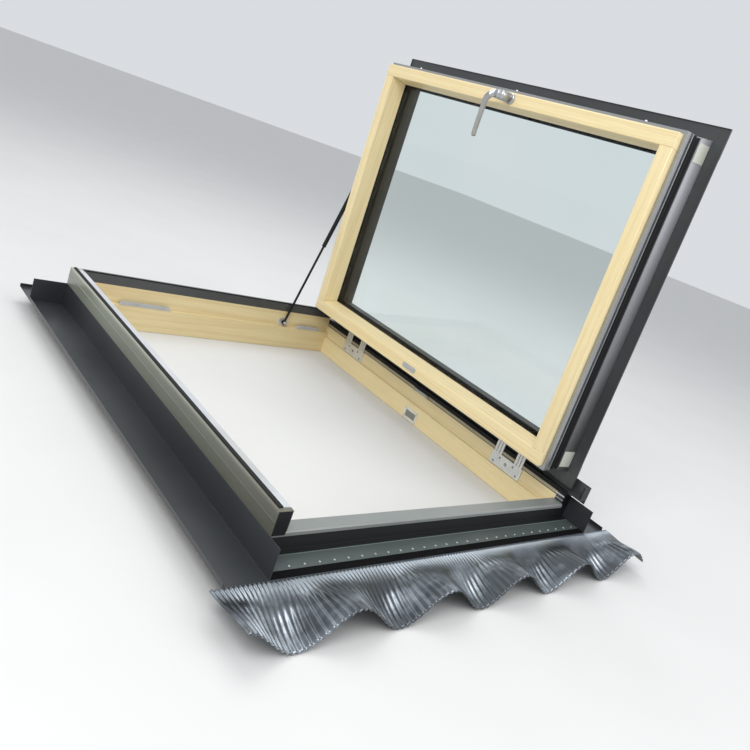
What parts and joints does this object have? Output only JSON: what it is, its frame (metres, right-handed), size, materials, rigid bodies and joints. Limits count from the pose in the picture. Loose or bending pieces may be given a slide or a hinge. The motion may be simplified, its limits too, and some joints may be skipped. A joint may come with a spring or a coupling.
{
  "type": "roof skylight",
  "caption": "Side-hung roof access window with pine frame and sash, double glazing, grey covers, pleated apron, lever handle and gas strut, standing open",
  "frame": {"origin": "centre of the four fixing holes, on the underside of the frame", "axes": "+X towards the hinge side, +Y up the roof slope, +Z out of the roof"},
  "size_m": [1.16, 1.49, 1.066],
  "materials": {
    "pine": "clear lacquered pine, satin",
    "cover_metal": "dark grey coated sheet, satin",
    "flashing_metal": "dark grey coated sheet, semi-gloss",
    "apron_metal": "pleated coated sheet, semi-gloss",
    "rivet_metal": "bare rivet heads",
    "light_metal": "light grey extrusion, satin",
    "zinc_steel": "zinc plated, satin",
    "handle_metal": "satin silver",
    "black_gasket": "matt black",
    "black_trim": "black, semi-gloss",
    "white_plastic": "off-white, matt",
    "grey_plastic": "light grey, matt",
    "clear_glass": "clear, polished"
  },
  "bodies": {
    "frame": {"frame_stile_left": "pine", "frame_stile_hinge": "pine", "frame_head": "pine", "frame_sill": "pine", "cover_left": "cover_metal", "cover_left_corner": "cover_metal", "cover_hinge": "cover_metal", "cover_head": "cover_metal", "cover_sill": "cover_metal", "sill_corner_caps": "black_trim", "frame_gasket": "black_gasket", "sill_flashing": "flashing_metal", "apron": "apron_metal", "apron_rivets": "rivet_metal", "side_flashing_left": "flashing_metal", "side_flashing_hinge": "flashing_metal", "head_flashing": "flashing_metal", "hinge_leaf_lower": "zinc_steel", "hinge_leaf_upper": "zinc_steel", "hinge_pins": "zinc_steel", "hinge_screws": "zinc_steel", "head_bracket_left": "grey_plastic", "head_bracket_right": "grey_plastic", "jamb_insert": "white_plastic", "catch_block": "grey_plastic", "lock_keeps": "zinc_steel", "strut_frame_bracket": "zinc_steel", "mounting_brackets": "zinc_steel", "bracket_screws": "zinc_steel"},
    "sash": {"sash_stile_hinge": "pine", "sash_stile_free": "pine", "sash_rail_top": "pine", "sash_rail_bottom": "pine", "glass_inner": "clear_glass", "glass_outer": "clear_glass", "glass_spacer": "rivet_metal", "glazing_seal": "black_gasket", "glazing_cap": "black_trim", "lock_channel": "light_metal", "sash_gasket": "black_gasket", "edge_profile_left": "light_metal", "edge_profile_hinge": "light_metal", "edge_profile_head": "light_metal", "edge_profile_sill": "light_metal", "edge_corners": "light_metal", "cladding_left": "cover_metal", "cladding_hinge": "cover_metal", "cladding_head": "cover_metal", "cladding_sill": "cover_metal", "cladding_corners": "cover_metal", "sash_leaf_lower": "zinc_steel", "sash_leaf_upper": "zinc_steel", "handle_rosette": "handle_metal", "catch_plate": "grey_plastic", "edge_clip": "grey_plastic", "strut_sash_bracket": "zinc_steel"},
    "handle": {"handle": "handle_metal"},
    "lock_bar": {"lock_bar": "zinc_steel"},
    "strut_rod": {"strut_rod": "zinc_steel"},
    "strut_tube": {"strut_tube": "black_trim"}
  },
  "joints": [
    {"name": "sash_hinge", "type": "hinge", "parent": "frame", "child": "sash", "pos_m": [0.446, 0, 0.15], "axis": [0, 1, 0], "range_deg": [-88.2, 0]},
    {"name": "handle_turn", "type": "hinge", "parent": "sash", "child": "handle", "pos_m": [0.31132, -0.022, 0.99719], "axis": [-0.9995, 0, -0.0314], "range_deg": [0, 90]},
    {"name": "lock_slide", "type": "slide", "parent": "sash", "child": "lock_bar", "axis": [0, 1, 0], "range_m": [0, 0.02]},
    {"name": "strut_swivel", "type": "hinge", "parent": "frame", "child": "strut_rod", "pos_m": [0.246, 0.5595, 0.09], "axis": [0, 1, 0], "range_deg": [-101.83, 0]},
    {"name": "strut_slide", "type": "slide", "parent": "strut_rod", "child": "strut_tube", "axis": [0.1947, 0, 0.9809], "range_m": [-0.26956, 0]}
  ],
  "couplings": [
    {"joint": "lock_slide", "follows": "handle_turn", "m_per_rad": 0.012731},
    {"joint": "strut_swivel", "follows": "sash_hinge", "ratio": 1.1543},
    {"joint": "strut_slide", "follows": "sash_hinge", "m_per_rad": 0.17504}
  ]
}
